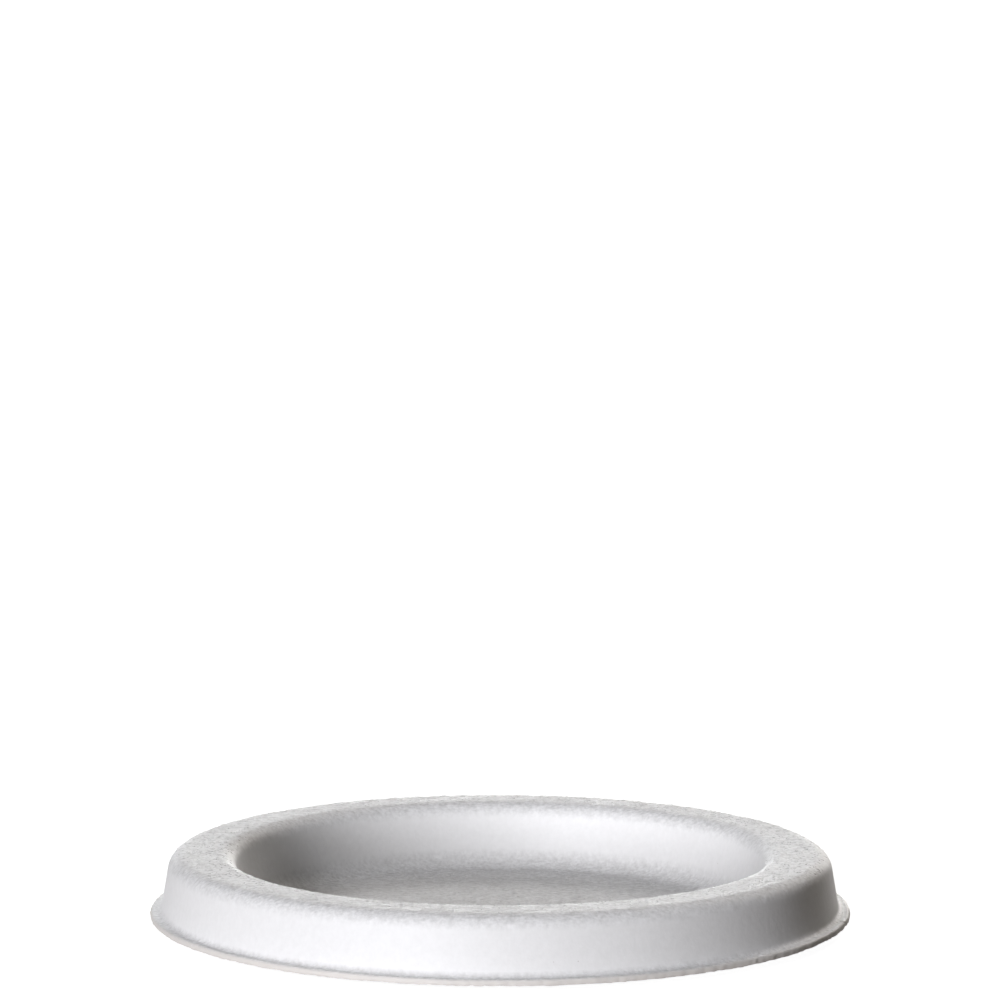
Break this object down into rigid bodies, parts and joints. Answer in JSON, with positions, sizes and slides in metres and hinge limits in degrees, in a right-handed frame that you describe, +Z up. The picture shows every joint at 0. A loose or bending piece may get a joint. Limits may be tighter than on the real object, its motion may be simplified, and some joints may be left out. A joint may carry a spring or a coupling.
{
  "type": "portion cup lid",
  "caption": "Round one-piece lid of moulded plant fibre for a portion cup, with a recessed well, a flat rim, a drafted skirt and a thin flange.",
  "frame": {"origin": "centre of the underside of the well floor, which is the surface the lid lies on", "axes": "+Z up along the lid's axis of symmetry, out of the mouth of the well; X and Y are free, because the lid is round"},
  "size_m": [0.078, 0.078, 0.008],
  "materials": {
    "pulp": "off-white moulded plant fibre, matt, with a fine felted grain"
  },
  "bodies": {
    "root": {"lid": "pulp"}
  },
  "joints": []
}
